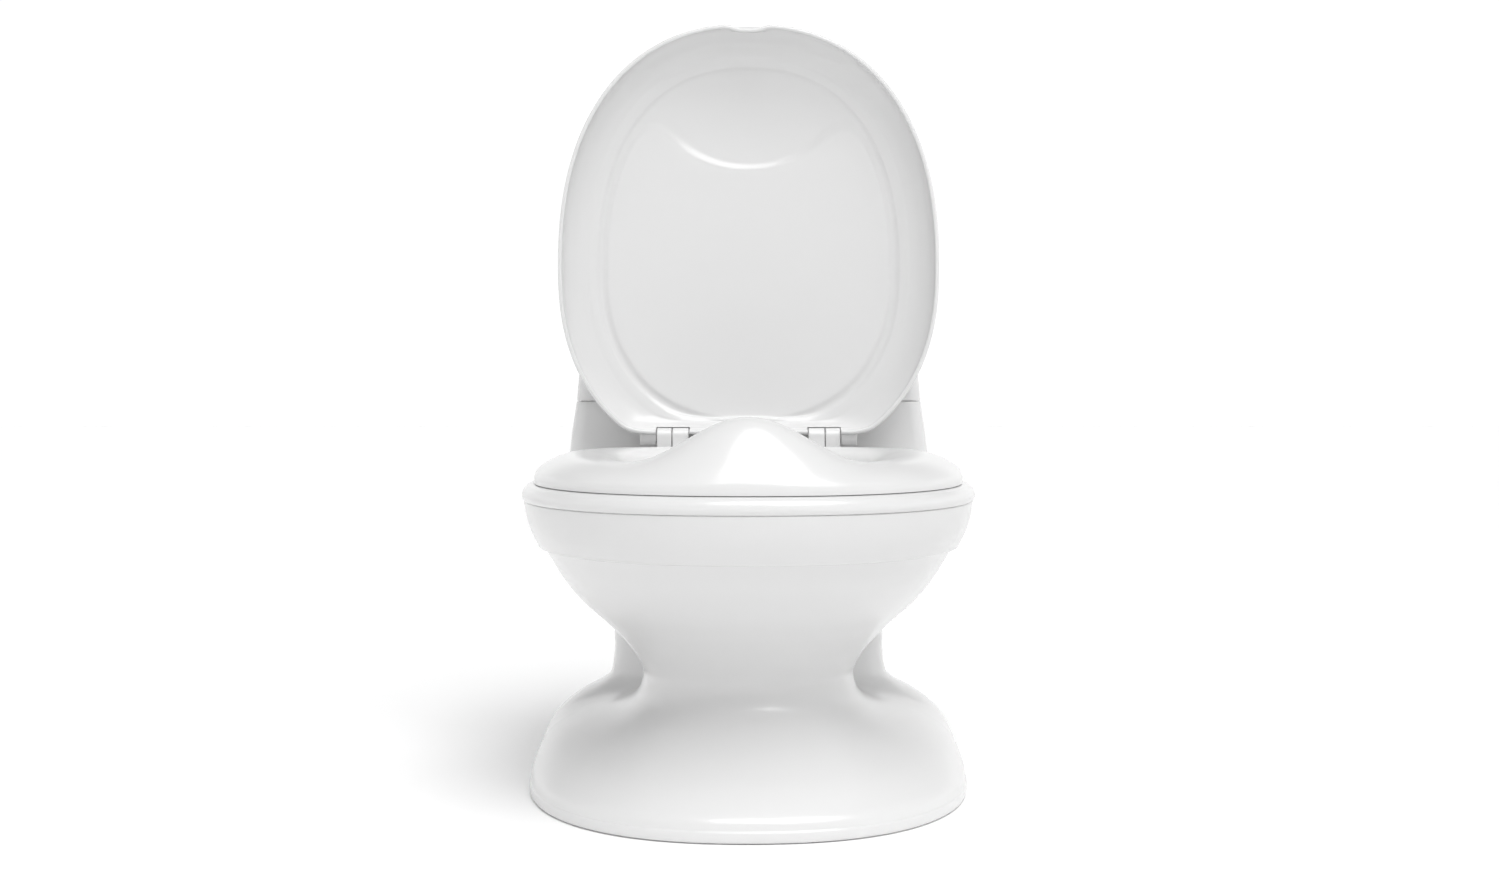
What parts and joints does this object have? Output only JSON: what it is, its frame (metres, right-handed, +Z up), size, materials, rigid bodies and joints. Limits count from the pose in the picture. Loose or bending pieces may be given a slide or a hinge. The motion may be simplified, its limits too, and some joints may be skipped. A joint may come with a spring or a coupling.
{
  "type": "potty training chair",
  "caption": "Child-size toilet trainer: flared pedestal, hinged seat with splash guard, domed lid standing open, lift-out bowl and a shallow tank with a push button.",
  "frame": {"origin": "on the floor, at the middle of the overall footprint", "axes": "+Z up, front of the chair towards -Y, +X to the right of someone who faces the front"},
  "size_m": [0.2808, 0.3648, 0.4951],
  "materials": {
    "white_gloss": "smooth glossy moulding",
    "white_satin": "satin moulding",
    "pad_rubber": "soft matt rubber",
    "screw_steel": "zinc plated",
    "spring_steel": "drawn wire",
    "unit_plastic": "fine spark texture",
    "board_laminate": "solder-masked laminate",
    "switch_plastic": "black plastic",
    "speaker_cone": "pressed paper cone in a steel basket",
    "cell_sleeve": "printed sleeve without marks",
    "contact_nickel": "nickel plated"
  },
  "bodies": {
    "base": {"pedestal_shell": "white_gloss", "base_plate": "white_satin", "rubber_feet": "pad_rubber", "base_screws": "screw_steel", "rim_band": "white_gloss", "deck": "white_gloss", "deck_screws": "screw_steel", "tank_body": "white_gloss", "tank_screws": "screw_steel", "hinge_pins": "white_satin"},
    "seat": {"seat_ring": "white_gloss", "seat_pads": "pad_rubber"},
    "lid_body": {"lid": "white_gloss"},
    "bowl": {"potty_bowl": "white_gloss"},
    "cover": {"tank_cover": "white_gloss", "button_bezel": "white_gloss", "button_spring": "spring_steel", "sound_housing": "unit_plastic", "sound_base": "unit_plastic", "circuit_board": "board_laminate", "tact_switch": "switch_plastic", "speaker": "speaker_cone", "battery_cells": "cell_sleeve", "battery_contacts": "contact_nickel", "battery_door": "unit_plastic", "battery_door_screw": "screw_steel", "unit_screws": "screw_steel"},
    "button": {"flush_button": "white_gloss"}
  },
  "joints": [
    {"name": "lid_hinge", "type": "hinge", "parent": "base", "child": "lid_body", "pos_m": [0, 0.105, 0.214], "axis": [1, 0, 0], "range_deg": [0, 90]},
    {"name": "seat_hinge", "type": "hinge", "parent": "base", "child": "seat", "pos_m": [0, 0.105, 0.214], "axis": [1, 0, 0], "range_deg": [-90, 0]},
    {"name": "bowl_lift", "type": "slide", "parent": "base", "child": "bowl", "axis": [0, 0, -1], "range_m": [-0.17, 0]},
    {"name": "tank_cover_lift", "type": "slide", "parent": "base", "child": "cover", "axis": [0, 0, -1], "range_m": [-0.16, 0]},
    {"name": "flush_button_press", "type": "slide", "parent": "cover", "child": "button", "axis": [0, 0, -1], "range_m": [0, 0.003], "stiffness_N_per_m": 200, "springref_m": -0.004, "deforming": ["button_spring"]}
  ]
}
